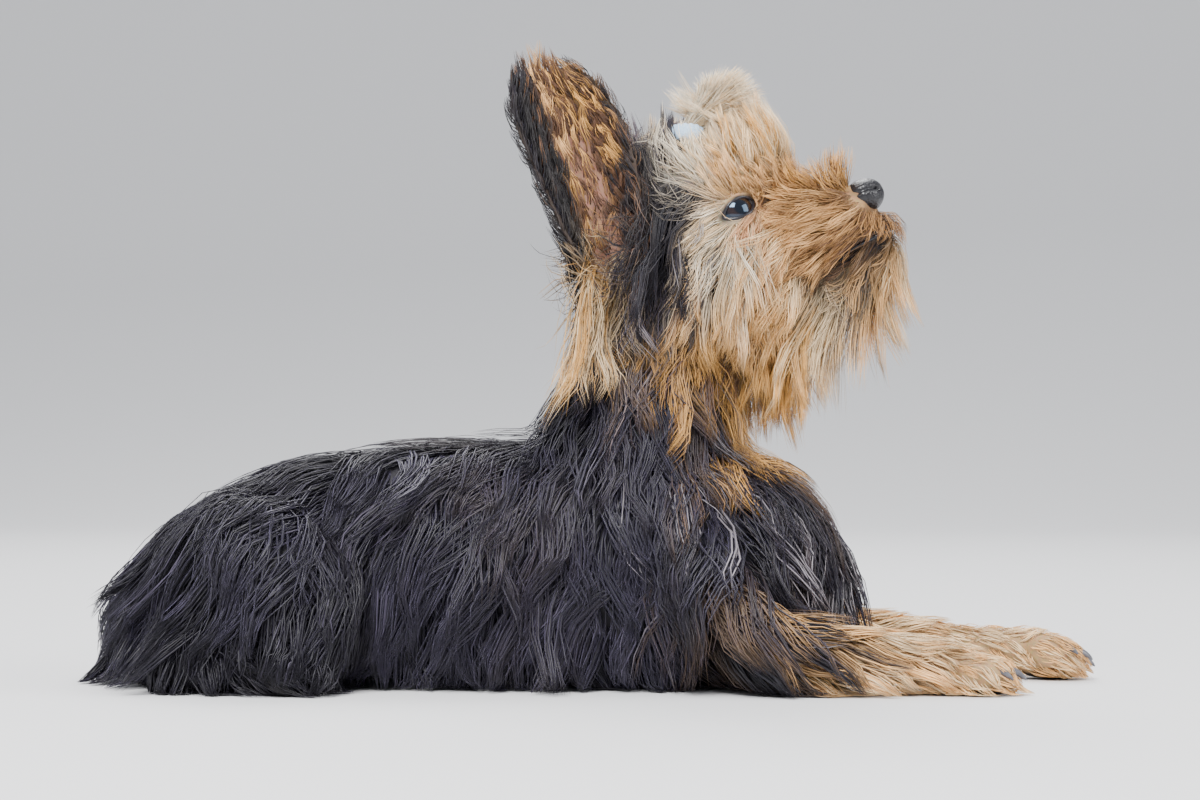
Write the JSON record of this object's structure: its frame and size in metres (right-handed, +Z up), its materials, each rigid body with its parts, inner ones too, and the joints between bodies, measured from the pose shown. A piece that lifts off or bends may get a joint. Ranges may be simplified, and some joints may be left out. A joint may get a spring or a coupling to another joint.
{
  "type": "long-haired terrier figure",
  "caption": "Life-size long-haired toy terrier lying on its belly with head raised, pricked ears, a tied topknot and forelegs stretched out in front.",
  "frame": {"origin": "on the floor, at the middle of the flat on which the trunk rests", "axes": "+X towards the nose and forepaws, +Y to the dog's left, +Z up from the floor"},
  "size_m": [0.3674, 0.1438, 0.2252],
  "materials": {
    "steel_coat": "long silky hair, dark steel",
    "tan_coat": "long hair, golden tan to cream",
    "ear_leather": "short dark hair over skin",
    "nose_leather": "moist pebbled black",
    "eye_gloss": "wet, very dark brown",
    "claw_horn": "smooth horn",
    "band_fabric": "soft elastic cloth"
  },
  "bodies": {
    "root": {"torso": "steel_coat", "neck": "steel_coat", "tail": "steel_coat", "hindleg_right": "steel_coat", "hindleg_left": "steel_coat", "upper_arm_right": "steel_coat", "upper_arm_left": "steel_coat", "head": "tan_coat", "topknot": "tan_coat", "forearm_right": "tan_coat", "forearm_left": "tan_coat", "forepaw_right": "tan_coat", "forepaw_left": "tan_coat", "hindpaw_right": "tan_coat", "hindpaw_left": "tan_coat", "ear_right": "ear_leather", "ear_left": "ear_leather", "eye_right": "eye_gloss", "eye_left": "eye_gloss", "nose": "nose_leather", "hair_tie": "band_fabric", "claw_forepaw_right_1": "claw_horn", "claw_forepaw_right_2": "claw_horn", "claw_forepaw_right_3": "claw_horn", "claw_forepaw_right_4": "claw_horn", "claw_forepaw_left_1": "claw_horn", "claw_forepaw_left_2": "claw_horn", "claw_forepaw_left_3": "claw_horn", "claw_forepaw_left_4": "claw_horn", "claw_hindpaw_right_1": "claw_horn", "claw_hindpaw_right_2": "claw_horn", "claw_hindpaw_right_3": "claw_horn", "claw_hindpaw_right_4": "claw_horn", "claw_hindpaw_left_1": "claw_horn", "claw_hindpaw_left_2": "claw_horn", "claw_hindpaw_left_3": "claw_horn", "claw_hindpaw_left_4": "claw_horn"}
  },
  "joints": []
}
